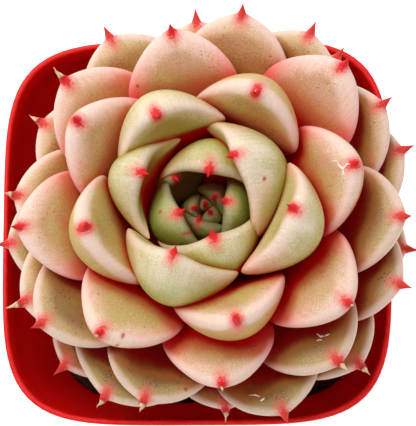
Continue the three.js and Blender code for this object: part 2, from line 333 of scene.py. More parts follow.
@dataclass(frozen=True)
class LeafFinish:
    """The skin of the leaves of one zone of the rosette, with the colours of its coats."""

    green: Colour
    ruddy: Colour
    # Pale farina, laid also as painted highlights and glints.
    bloom: Colour
    # This and the next two colours are painted shade for the creases between the leaves; this one also tints
    # the grain.
    shade: Colour
    amber: Colour
    deep: Colour
    # Darker olive of the lower leaves: older skin, partly painted shade.
    dulled: Colour
    blush: Colour
    blush_share: float
    rim_share: float
    rim_width: float
    speckle: float
    veil_share: float
    # The share of waxy grains, which are also painted glints.
    dust: float
    # How much sooner this zone's painted shade sets in.
    gloom: float = 0.0
    red: Colour = paint(230, 16, 30)
    halo: Colour = paint(240, 104, 98)
    halo_share: float = 0.85
    veil: Colour = paint(132, 92, 60)
    # The pale margin, also a painted highlight.
    rim: Colour = paint(255, 230, 220)
    scab: Colour = paint(150, 30, 28)
    dry: Colour = paint(236, 206, 168)
    spot: Colour = paint(84, 46, 28)
    mark: Colour = paint(200, 44, 54)
    scorched: Colour = paint(178, 84, 40)
    relief: float = 0.3

    def material(self, name: str) -> bpy.types.Material:
        """Builds the material, one coat over another.

        Args:
            name: The material's name.

        Returns:
            The material.
        """
        skin = LeafSkin(name, self.green)
        bloom_and_highlight_share = self._flesh(skin)
        self._shadow(skin)
        self._margins(skin)
        grains = self._grains(skin)
        self._tip(skin)
        self._marks(skin)

        rough = 0.36 + skin.grain * 0.16 + skin.fine * 0.12 + bloom_and_highlight_share * 0.08
        height = skin.cloud * 0.4 + skin.streak * 0.3 + skin.grain * 0.3 + skin.fine * 0.25 + grains * 0.25
        return skin.finish(rough, height, self.relief)

    def _flesh(self, skin: LeafSkin) -> Value:
        """Colours the open skin: green to ruddy, with a dusty veil and pale farina, partly painted
        highlight.

        Args:
            skin: The material in the making.

        Returns:
            How much pale farina and painted highlight lies on it.
        """
        cloud, dull = skin.cloud, skin.dull
        ruddy = skin.ruddy + (cloud - 0.5) * 2.0 + (skin.streak - 0.5) * 0.3
        skin.coat(self.ruddy, ruddy.rise(0.0, 1.0))
        inside = skin.edge.rise(0.6, 3.2) * skin.side.rise(-0.1, 0.3)
        # Darker olive on the lower leaves: older skin with less farina, and partly painted shade.
        skin.coat(self.dulled, dull * (0.7 + cloud * 0.5) * (inside * 0.7 + 0.3))
        patch = cloud.rise(0.36, 0.6) * 0.7 + 0.3
        veil = skin.grain.rise(0.42, 0.58) * inside * patch + inside * patch * 0.2
        skin.coat(self.veil, veil * self.veil_share * (0.6 + dull * 0.5))
        skin.coat(self.shade, skin.grain.rise(0.44, 0.6) * 0.42)

        crest = (1 - inside * 0.7) * (1 - dull * 0.85)
        frost = skin.streak.rise(0.2, 0.7) * 0.25 + cloud.rise(0.3, 0.6) * 0.4
        frost = (frost + skin.fine.rise(0.4, 0.66) * 0.5) * (0.45 + skin.ruddy * 1.1)
        flecked = skin.fine.rise(0.5, 0.6) * skin.grain.rise(0.36, 0.54) * (0.25 + dull * 0.2)
        # The pale farina lies only where the skin faces up and sees the sky and the lamp, so it is partly a
        # painted highlight.
        bloom_and_highlight_share = skin.up.rise(0.2, 0.9) * skin.sky.rise(0.5, 0.88) * (crest * frost + flecked)
        skin.coat(self.bloom, bloom_and_highlight_share)
        skin.coat(self.scorched, skin.scorch * cloud.rise(0.2, 0.5) * 0.9)
        return bloom_and_highlight_share

    def _shadow(self, skin: LeafSkin) -> None:
        """Paints shade where the leaves close over the skin and hide it from the sky and the lamp.

        Args:
            skin: The material in the making.
        """
        closed = 1 + self.gloom - skin.sky
        painted_shade = closed + (skin.cloud - 0.5) * 0.14 + (skin.streak - 0.5) * 0.06
        # Painted shade in three coats, the last in the darkest crevices.
        skin.coat(self.shade, painted_shade.rise(0.26, 0.6) * 0.85)
        skin.coat(self.amber, painted_shade.rise(0.55, 0.74) * 0.9)
        skin.coat(self.deep, painted_shade.rise(0.68, 0.8))

    def _margins(self, skin: LeafSkin) -> None:
        """Adds the pale, thick margin, partly a painted highlight, and the shoulders' blush, fainter in
        painted shade.

        Args:
            skin: The material in the making.
        """
        # How much light falls here: the pale margin's painted highlight and the blush follow it.
        lit = skin.sky.rise(0.2, 0.6)
        inside = skin.edge + (skin.cloud - 0.5) * 0.9
        rim = inside.rise(self.rim_width * 1.6, 0.1) * skin.along.rise(0.25, 0.45) * lit
        skin.coat(self.rim, rim * self.rim_share)
        shoulder = skin.along.rise(0.3, 0.55) * skin.along.rise(0.96, 0.62)
        warmth = skin.ruddy.rise(0.0, 0.9) * 0.7 + 0.3
        blushed = skin.edge.rise(3.4, 0.3) * (0.12 + shoulder) * skin.cloud.rise(0.2, 0.46) * warmth
        skin.coat(self.blush, blushed * self.blush_share * (0.4 + lit * 0.6))

    def _tip(self, skin: LeafSkin) -> None:
        """Reddens the hard point and the skin behind it, dimmed in painted shade, and bleaches the dry ones.

        Args:
            skin: The material in the making.
        """
        lit = skin.sky.rise(0.05, 0.45)
        ragged = (skin.grain - 0.5) * 1.8 + (skin.cloud - 0.5) * 0.8
        streaked = self._reach(skin.aside * 1.2, skin.behind * 0.66) + ragged
        near = self._reach(skin.aside * 1.1, skin.behind * 0.6) + ragged * 0.8
        # The pink halo is dimmed where the tip sees little sky and lamp: painted shade.
        glow = streaked.rise(2.3, 0.4) * (0.3 + lit * 0.7) * self.halo_share
        skin.coat(self.halo, glow)
        skin.coat(self.red, near.rise(1.05, 0.4) * 0.96)
        point = skin.along.rise(1.012, 1.03)
        skin.coat(self.scab, point * (0.15 + skin.dried * 0.4))
        bleached = skin.along.rise(1.03, 1.045) * skin.dried * skin.grain.rise(0.3, 0.5)
        skin.coat(self.dry, bleached)

    def _reach(self, across: Value, along: Value) -> Value:
        """Gives the distance from its two parts."""
        return (across * across + along * along) ** 0.5

    def _grains(self, skin: LeafSkin) -> Value:
        """Adds the small dark specks, and pale waxy grains that show as painted glints where the skin faces
        up into the light.

        Args:
            skin: The material in the making.

        Returns:
            How much higher than the skin the grains stand.
        """
        face = skin.side.rise(0.0, 0.4) * skin.edge.rise(0.3, 1.5)
        crowd = (skin.mottle(skin.blade, 0.3, 1.0) + skin.dull * 0.1).rise(0.48, 0.62) * face
        fleck = skin.dots(skin.blade, 1.7).rise(0.3, 0.1) * crowd * skin.cloud.rise(0.35, 0.55)
        skin.coat(self.spot, fleck * self.speckle)
        # Painted glints: the waxy grains show only where the skin faces up and is open to the sky and the
        # lamp.
        lit_from_above = skin.up.rise(0.35, 0.9) * skin.sky.rise(0.5, 0.85)
        glinting_wax = skin.dots(skin.blade, 1.35).rise(0.26, 0.1) * lit_from_above * skin.cloud.rise(0.62, 0.4)
        skin.coat(self.bloom, glinting_wax * self.dust)
        return glinting_wax * 0.6 - fleck

    def _marks(self, skin: LeafSkin) -> None:
        """Adds the leaf's own round blemishes.

        Args:
            skin: The material in the making.
        """
        for name in MARK_NAMES:
            places = {0: skin.blade, 1: skin.attribute(name, "Vector")}
            offset = skin.node("ShaderNodeVectorMath", {"operation": "DISTANCE"}, places, "Value")
            skin.coat(self.mark, offset.rise(0.42, 0.12) * 0.8)


@dataclass(frozen=True)
class ScarFinish:
    """Pale, corky skin grown over a scratch."""

    cork: Colour = paint(252, 246, 240)
    stain: Colour = paint(222, 190, 172)
    relief: float = 0.1

    def material(self) -> bpy.types.Material:
        """Builds the material.

        Returns:
            The material.
        """
        dress = Dressing("scar", self.cork, Specular_IOR_Level=0.3)
        grain = dress.mottle(dress.coordinates(), 1800.0)
        dress.coat(self.stain, grain.rise(0.55, 0.75))
        return dress.finish(0.5 + grain * 0.2, grain, self.relief)


@dataclass(frozen=True)
class PlasticFinish:
    """Smooth moulded plastic that lets some light through, scuffed along its lip, where its pale pink is
    also a painted highlight.
    """

    slot: str = "pot"
    body: Colour = paint(222, 2, 4)
    # Pale pink of scuffs, which along the lip is also a painted highlight.
    worn: Colour = paint(232, 66, 58)
    relief: float = 0.12

    def material(self) -> bpy.types.Material:
        """Builds the material.

        Returns:
            The material.
        """
        dress = Dressing(
            self.slot,
            self.body,
            Subsurface_Weight=0.8,
            Subsurface_Radius=(2.0, 0.02, 0.02),
            Subsurface_Scale=MM,
            Specular_IOR_Level=0.3,
        )
        place = dress.coordinates()
        lip = dress.attribute("lip")
        cloud = dress.mottle(place, 60.0, 3.0)
        drawn = dress.mottle(dress.stretched(place, (1.0, 1.0, 0.06)), 900.0)
        scuff = dress.mottle(place, 700.0, 4.0, 0.7)
        burr = dress.dots(place, 260.0).rise(0.12, 0.03)
        # Pale pink along the lip: partly scuffing and partly a painted highlight.
        dress.coat(self.worn, lip * scuff.rise(0.36, 0.8) * 0.5 + scuff.rise(0.66, 0.8) * 0.06)
        rough = 0.26 + scuff * 0.16 + lip * 0.12 + cloud * 0.08
        height = drawn * 0.25 + cloud * 0.6 + burr * lip * 0.5
        return dress.finish(rough, height, self.relief)


@dataclass(frozen=True)
class SoilFinish:
    """Dark, crumbly potting mix with paler grit."""

    slot: str = "soil"
    peat: Colour = paint(52, 26, 18)
    crumb: Colour = paint(88, 52, 36)
    grit: Colour = paint(150, 122, 98)
    relief: float = 0.7

    def material(self, name: str, gritty: float) -> bpy.types.Material:
        """Builds the material.

        Args:
            name: The material's name.
            gritty: The share of pale grit, from 0 to 1.

        Returns:
            The material.
        """
        dress = Dressing(name, self.peat, Specular_IOR_Level=0.25)
        place = dress.coordinates()
        lump = dress.mottle(place, 420.0, 4.0, 0.65)
        fine = dress.mottle(place, 2200.0, 3.0, 0.7)
        stone = dress.dots(place, 620.0).rise(0.34, 0.22) * dress.mottle(place, 190.0).rise(0.5, 0.6)
        dress.coat(self.crumb, lump.rise(0.38, 0.66))
        dress.coat(self.grit, stone * 0.6 + gritty * fine.rise(0.35, 0.6))
        return dress.finish(0.78 + fine * 0.2, lump * 0.7 + fine * 0.3, self.relief)


@dataclass(frozen=True)
class BarkFinish:
    """The short woody stem with its old leaf scars."""

    slot: str = "stem"
    bark: Colour = paint(112, 92, 64)
    scar: Colour = paint(176, 156, 112)
    relief: float = 0.5

    def material(self) -> bpy.types.Material:
        """Builds the material.

        Returns:
            The material.
        """
        dress = Dressing(self.slot, self.bark, Specular_IOR_Level=0.3)
        place = dress.coordinates()
        fibre = dress.mottle(dress.stretched(place, (1.0, 1.0, 0.2)), 1500.0, 4.0, 0.65)
        ring = dress.mottle(dress.stretched(place, (0.2, 0.2, 1.0)), 700.0)
        dress.coat(self.scar, ring.rise(0.5, 0.64) * (0.4 + fibre))
        return dress.finish(0.7 + fibre * 0.2, fibre * 0.6 + ring * 0.4, self.relief)


@dataclass(frozen=True)
class FloorFinish:
    """A plain pale studio floor."""

    tone: Colour = paint(250, 250, 250)
    speck: Colour = paint(246, 246, 247)
    glow: float = 0.66
    relief: float = 0.02

    def material(self) -> bpy.types.Material:
        """Builds the material.

        Returns:
            The material.
        """
        dress = Dressing("floor", self.tone, Emission_Color=self.tone, Emission_Strength=self.glow)
        grain = dress.mottle(dress.coordinates(), 300.0)
        dress.coat(self.speck, grain.rise(0.6, 0.8))
        return dress.finish(0.85 + grain * 0.1, grain, self.relief)


# Mesh helpers


def mesh_of(name: str, shape: bmesh.types.BMesh) -> bpy.types.Mesh:
    """Turns a mesh in the making into a lasting one.

    Args:
        name: The mesh's name.
        shape: The mesh in the making. It is freed.

    Returns:
        The lasting mesh.
    """
    mesh = bpy.data.meshes.new(name)
    shape.to_mesh(mesh)
    shape.free()
    return mesh


def placed(data: bpy.types.ID) -> bpy.types.Object:
    """Puts a mesh, lamp or camera in the scene, at the origin and under its own name.

    Args:
        data: The mesh, lamp or camera.

    Returns:
        Its object.
    """
    made = bpy.data.objects.new(data.name, data)
    bpy.context.scene.collection.objects.link(made)
    return made


def finished(
    name: str,
    shape: bmesh.types.BMesh,
    material: bpy.types.Material,
    nodes: Iterable[str] = (),
    rounds: int = 0,
) -> bpy.types.Object:
    """Turns a mesh in the making into a piece of the part.

    Args:
        name: The piece's name.
        shape: Its mesh, in metres. It is freed.
        material: Its finish.
        nodes: The nodes of the frame that it stands for.
        rounds: How many times its surface is subdivided.

    Returns:
        The piece.
    """
    mesh = mesh_of(name, shape)
    mesh.materials.append(material)
    mesh.polygons.foreach_set("use_smooth", [True] * len(mesh.polygons))
    piece = placed(mesh)
    if rounds:
        modifier = piece.modifiers.new("surface", "SUBSURF")
        modifier.levels = rounds
        modifier.render_levels = rounds
    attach(piece, "root")
    if nodes:
        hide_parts(*nodes)
    log.info("%s: %d vertices", name, len(mesh.vertices))
    return piece


def layer_of(shape: bmesh.types.BMesh, name: str) -> bmesh.types.BMLayerItem:
    """Finds or adds a number for each vertex."""
    return shape.verts.layers.float.get(name) or shape.verts.layers.float.new(name)


def loft(
    shape: bmesh.types.BMesh, sides: int, rows: Sequence[Row], place: Callable[[Row, float], Vector]
) -> list[list[bmesh.types.BMVert]]:
    """Draws a circle through a row of rings, and closes both ends.

    Args:
        shape: The mesh to draw in.
        sides: How many sides each ring has.
        rows: What is known of each ring.
        place: Gives the place, in millimetres, of a ring's vertex in one direction.

    Returns:
        The vertices of each ring.
    """
    ring = bmesh.ops.create_circle(shape, cap_ends=False, segments=sides, radius=1.0)["verts"]
    edges = list(dict.fromkeys(edge for vert in ring for edge in vert.link_edges))
    turns = {vert: math.atan2(vert.co.y, vert.co.x) for vert in ring}
    first_edges = edges
    rings = []
    for row in rows:
        if rings:
            made = bmesh.ops.extrude_edge_only(shape, edges=edges)["geom"]
            edges = [item for item in made if isinstance(item, bmesh.types.BMEdge)]
            ring = [item for item in made if isinstance(item, bmesh.types.BMVert)]
            ends = {vert: [edge.other_vert(vert) for edge in vert.link_edges] for vert in ring}
            turns = {vert: next(turns[end] for end in ends[vert] if end in turns) for vert in ring}
        for vert in ring:
            vert.co = place(row, turns[vert]) * MM
        rings.append(ring)
    bmesh.ops.contextual_create(shape, geom=first_edges)
    bmesh.ops.contextual_create(shape, geom=edges)
    bmesh.ops.recalc_face_normals(shape, faces=shape.faces)
    return rings


class Tip(Enum):
    """What has become of the hard point on a leaf's tip."""

    FRESH = 0.0
    DRY = 1.0


class Zone(Enum):
    """The zones of the rosette, each with its last leaf."""

    HEART = ("heart_leaf", 3)
    INNER = ("inner_leaf", 10)
    MIDDLE = ("middle_leaf", 22)
    OUTER = ("outer_leaf", 45)

    @property
    def slot(self) -> str:
        """The zone's material slot, which its nodes' names start with."""
        return self.value[0]

    @property
    def last(self) -> int:
        """The zone's last leaf."""
        return self.value[1]


# Each finish's shade colours are painted shade; its pale farina and margin colours are also painted
# highlights.
FINISHES: dict[Zone, LeafFinish] = {
    Zone.HEART: LeafFinish(
        green=paint(140, 150, 66), ruddy=paint(166, 160, 84), bloom=paint(214, 210, 160),
        shade=paint(116, 116, 36), amber=paint(112, 100, 34), deep=paint(104, 66, 20),
        dulled=paint(150, 140, 80), blush=paint(222, 160, 130), blush_share=0.15,
        rim_share=0.15, rim_width=0.3, speckle=0.3, veil_share=0.2, dust=0.3, gloom=0.05,
    ),
    Zone.INNER: LeafFinish(
        green=paint(194, 190, 108), ruddy=paint(228, 202, 150), bloom=paint(252, 240, 222),
        shade=paint(178, 148, 52), amber=paint(176, 72, 14), deep=paint(214, 6, 2),
        dulled=paint(160, 140, 80), blush=paint(248, 138, 120), blush_share=0.75,
        rim_share=0.35, rim_width=0.3, speckle=0.25, veil_share=0.2, dust=0.7, gloom=-0.06,
    ),
    Zone.MIDDLE: LeafFinish(
        green=paint(200, 184, 100), ruddy=paint(208, 146, 88), bloom=paint(250, 228, 208),
        shade=paint(208, 98, 54), amber=paint(198, 44, 22), deep=paint(218, 6, 2),
        dulled=paint(176, 140, 92), blush=paint(246, 98, 94), blush_share=1.0,
        rim_share=0.65, rim_width=0.55, speckle=0.4, veil_share=0.2, dust=0.5,
    ),
    Zone.OUTER: LeafFinish(
        green=paint(192, 170, 90), ruddy=paint(212, 160, 100), bloom=paint(240, 214, 184),
        shade=paint(178, 112, 48), amber=paint(140, 48, 12), deep=paint(158, 3, 0),
        dulled=paint(106, 98, 40), blush=paint(242, 138, 122), blush_share=0.5,
        rim_share=0.6, rim_width=0.6, speckle=0.55, veil_share=0.7, dust=0.3,
        red=paint(224, 56, 48),
    ),
}


@dataclass(frozen=True)
class Habit:
    """How this plant grows.

    Rows are (leaf number, value), counted outwards from the heart, and (height, radius) for the
    stem. Angles are degrees: rises are above level, and `grown_aside` is about the stem. Pulls
    are shares of the distance from root to tip, and leans of the leaf's width. Marks and
    scratches give places in millimetres across and along the leaf.
    """

    first: int = -4
    last: int = 45
    centre: Place = (2.7, 1.1)
    divergence: float = 137.03
    first_azimuth: float = 267.9
    stem: Table = (
        (16, 2.2), (28, 3.6), (34, 4), (44, 4.3), (49.5, 6), (52, 6.9), (55, 6.4),
        (58.5, 5.5), (62, 4.3), (64.8, 2.8), (66, 1.3),
    )
    stem_top: float = 66.3
    width: Table = (
        (-4, 3), (-2, 4.6), (0, 7.8), (3, 13.4), (4, 14.8), (5, 16.2), (6, 15.6), (7, 18.2),
        (8, 17.6), (12, 17), (16, 16.6), (36, 17), (37, 19.4), (38, 17), (45, 16),
    )
    thickness: Table = (
        (-4, 1.6), (-2, 2), (0, 2.6), (4, 4.2), (8, 5), (16, 5), (30, 3.8), (38, 3), (45, 2.7),
    )
    cup: Table = (
        (-4, 0.5), (-2, 1), (2, 2.4), (3, 3.8), (4, 4.4), (5, 6), (6, 5.8), (7, 6),
        (8, 5.2), (10, 5.6), (11, 4.6), (12, 4.4), (14, 3.8), (22, 2.3),
        (30, 1.2), (45, 0.5),
    )
    tip_radius: Table = (
        (-4, 0.6), (-3, 1), (-2, 1.6), (-1, 2), (0, 2.2), (1, 4.6), (2, 3.2), (3, 3.4),
        (4, 4.1), (5, 5.5), (6, 8.3), (7, 6.6), (8, 8.8), (9, 13), (10, 12.5),
        (11, 16.8), (12, 17.2), (16, 24.1), (20, 28.3), (25, 30), (32, 31.3), (45, 31.1),
    )
    tip_height: Table = (
        (-4, 68.6), (-2, 69.6), (0, 71.2), (2, 74.2), (4, 77.4), (5, 77.6), (8, 81.5),
        (9, 81.5), (12, 80), (16, 76), (20, 72), (25, 67.8), (32, 63.4), (38, 60.4), (45, 57.6),
    )
    base_height: Table = ((-4, 65.6), (20, 57.6), (45, 50.8))
    base_rise: Table = (
        (-4, 75), (-2, 62), (2, 45), (6, 38), (7, 31), (8, 27), (9, 37), (10, 38), (11, 22),
        (12, 17), (20, 9), (30, 2), (45, -4),
    )
    tip_rise: Table = (
        (-4, 95), (0, 128), (3, 142), (7, 142), (8, 137), (9, 119), (10, 123), (11, 98), (12, 104),
        (13, 88), (14, 80), (16, 64), (18, 52), (20, 52), (25, 42), (32, 30), (45, 16),
    )
    base_pull: Table = ((-4, 0.45), (2, 0.5), (4, 0.5), (8, 0.56), (20, 0.42), (45, 0.38))
    tip_pull: Table = ((-4, 0.3), (4, 0.45), (8, 0.45), (20, 0.38), (45, 0.33))
    base_sink: float = 1.0
    grown_aside: Mapping[int, float] = field(default_factory=lambda: {
        0: -18, 3: -9, 4: 1, 5: -14, 6: -3, 7: -6, 8: -4, 9: 2.5, 10: -1, 13: -1.5, 14: -2.5,
        16: -3, 17: 1.6, 18: 3.5, 19: 2.1, 20: -1.2, 21: 3.5, 22: 4, 23: -1.2, 24: -4.6,
        25: -2.5, 26: 5.5, 27: 6.5, 29: -4, 31: -1.1, 32: 2.1, 33: -4, 34: 1.6, 35: -1.5,
        36: 3.5, 37: -2.4, 38: -6.8, 39: -10.5, 41: 2.1, 42: 1.7, 44: -8, 45: 3,
    })
    fill: Table = ((5, 0.0), (8, 0.35), (12, 0.45), (14, 0.6), (20, 0.5), (26, 0.3), (32, 0.0))
    taper: Table = ((4, 0.95), (10, 0.88), (18, 0.78), (26, 0.62))
    tip_lean: Mapping[int, float] = field(default_factory=lambda: {
        1: 0.05, 2: 0.05, 4: -0.04, 6: -0.07, 7: 0.19, 10: 0.2, 11: -0.1, 12: -0.035,
        13: 0.03, 20: -0.04, 21: 0.055, 23: 0.05, 29: 0.045, 30: 0.06, 33: -0.04, 37: 0.125,
        39: 0.05,
    })
    grown_long: Mapping[int, float] = field(default_factory=lambda: {
        1: 1, 6: 0.5, 10: 0.4, 13: -0.6, 14: 0.9, 15: 0.4, 17: 0.7, 18: -0.5, 20: 0.8, 21: -2.4,
        22: -0.5, 23: -0.3, 26: -0.4, 27: -1.6, 29: -1.3, 31: -0.6, 32: -0.5, 33: 0.3, 34: 0.4,
        35: -1.7, 36: -0.6, 38: -0.8, 39: 0.5, 42: -2.3, 44: -1.3, 45: 0.5,
    })
    point_radius: Table = ((4, 0.5), (16, 0.58), (26, 0.78))
    point_length: Table = ((4, 1.3), (12, 1.5), (20, 1.8), (28, 2.4))
    long_points: Mapping[int, float] = field(default_factory=lambda: {22: 1.2, 26: 0.5, 32: 0.8})
    dry_tips: frozenset[int] = frozenset({12, 16, 18, 21, 22, 26, 27, 29, 32, 35, 37, 39, 42})
    ruddiness: Table = (
        (-4, 0.2), (4, 0.1), (6, 0.2), (7, 0.4), (12, 0.5), (20, 0.6), (28, 0.5), (45, 0.4),
    )
    tinged: Mapping[int, float] = field(default_factory=lambda: {
        8: -0.15, 9: -0.1, 10: 0.15, 11: -0.4, 12: -0.25, 13: -0.2, 14: 0.1, 16: -0.2, 17: 0.3,
        19: -0.1, 20: 0.45, 21: -0.1, 24: -0.3, 25: 0.3, 26: -0.1, 29: -0.4, 34: -0.4, 37: -0.5,
        45: 0.6,
    })
    # Lower leaves made darker and olive: older skin, and partly painted shade.
    dullness: Mapping[int, float] = field(default_factory=lambda: {
        21: 0.3, 23: 0.4, 24: 0.6, 26: 0.7, 28: 0.15, 29: 0.9, 31: 0.7, 34: 1, 36: 0.1, 37: 1,
        39: 0.9, 40: 0.8, 42: 0.9, 43: 0.8, 44: 0.3, 45: 0.6,
    })
    marks: Mapping[int, tuple[Place, ...]] = field(default_factory=lambda: {
        3: ((-1.5, 12.7), (3.0, 13.4)), 7: ((-3.7, 19.4),), 16: ((2.8, 25.8),),
        17: ((6.6, 21.5),), 18: ((2.7, 20.7),), 29: ((5.4, 23.3),),
    })
    scorching: Mapping[int, float] = field(default_factory=lambda: {42: 0.4, 45: 0.9})
    scratches: Mapping[int, tuple[Stroke, ...]] = field(default_factory=lambda: {
        15: (
            ((1.5, 24.3), (1.2, 25.4), (0.3, 25.7), (-0.2, 26.0), (0.3, 26.6), (0.1, 27.0)),
            ((-0.2, 26.0), (-0.9, 25.9), (-1.35, 26.0)),
        ),
        26: (
            ((0.3, 22.8), (0.4, 23.7), (1.0, 24.2), (1.7, 24.4)),
            ((-0.4, 23.8), (0.0, 24.0), (0.2, 24.4)),
        ),
        34: (((-3.9, 24.0), (-3.0, 24.4), (-2.4, 25.0)), ((-2.6, 25.6), (-1.8, 25.5))),
    })

    def azimuth(self, number: int) -> float:
        """Gives the direction in which a leaf grows, in radians."""
        turned = self.first_azimuth - self.divergence * number + self.grown_aside.get(number, 0)
        return math.radians(turned)

    def zone(self, number: int) -> Zone:
        """Gives the zone that a leaf is in."""
        return next(zone for zone in Zone if number <= zone.last)

    def count(self, number: int) -> int:
        """Counts a leaf outwards from the heart, starting at 1."""
        return number - self.first + 1

    def tinge(self, number: int) -> dict[str, float]:
        """Gives the leaf's own values that are the same all over it.

        Args:
            number: The leaf's number.

        Returns:
            How ruddy, how dark and how scorched it is; the darkness is partly painted shade.
        """
        return {
            "ruddy": at(self.ruddiness, number) + self.tinged.get(number, 0),
            "dull": self.dullness.get(number, 0),
            "scorch": self.scorching.get(number, 0),
        }


@dataclass
class Spine:
    """A leaf's middle line in the upright plane through the stem: x is outwards, y is up.

    It is a curve from its start to its end, drawn towards the two pulls on the way.
    """

    start: Vector
    base_pull: Vector
    tip_pull: Vector
    end: Vector
    steps: int = 80
    lengths: list[float] = field(default_factory=lambda: [0.0])

    def __post_init__(self) -> None:
        """Measures the line, so that it can be read by length."""
        for step in range(self.steps):
            stretch = (self._at((step + 1) / self.steps) - self._at(step / self.steps)).length
            self.lengths.append(self.lengths[-1] + stretch)

    @property
    def length(self) -> float:
        """The line's length."""
        return self.lengths[-1]

    def _at(self, t: float) -> Vector:
        """Gives the point at one value of the curve's own parameter."""
        u = 1 - t
        return (
            u**3 * self.start + 3 * u * u * t * self.base_pull
            + 3 * u * t * t * self.tip_pull + t**3 * self.end
        )

    def _parameter(self, share: float) -> float:
        """Finds the curve's own parameter.

        Args:
            share: The share of the curve's length.

        Returns:
            The parameter there, from 0 to 1.
        """
        wanted = share * self.length
        for step in range(self.steps):
            low, high = self.lengths[step], self.lengths[step + 1]
            if high >= wanted:
                return (step + (wanted - low) / max(high - low, 1e-9)) / self.steps
        return 1.0

    def frame_at(self, share: float) -> tuple[Vector, Vector]:
        """Finds where the line is and where it heads.

        Args:
            share: The share of its length.

        Returns:
            The point and the direction there.
        """
        t = self._parameter(share)
        u = 1 - t
        along = (
            u * u * (self.base_pull - self.start) + 2 * u * t * (self.tip_pull - self.base_pull)
            + t * t * (self.end - self.tip_pull)
        )
        return self._at(t), along.normalized()


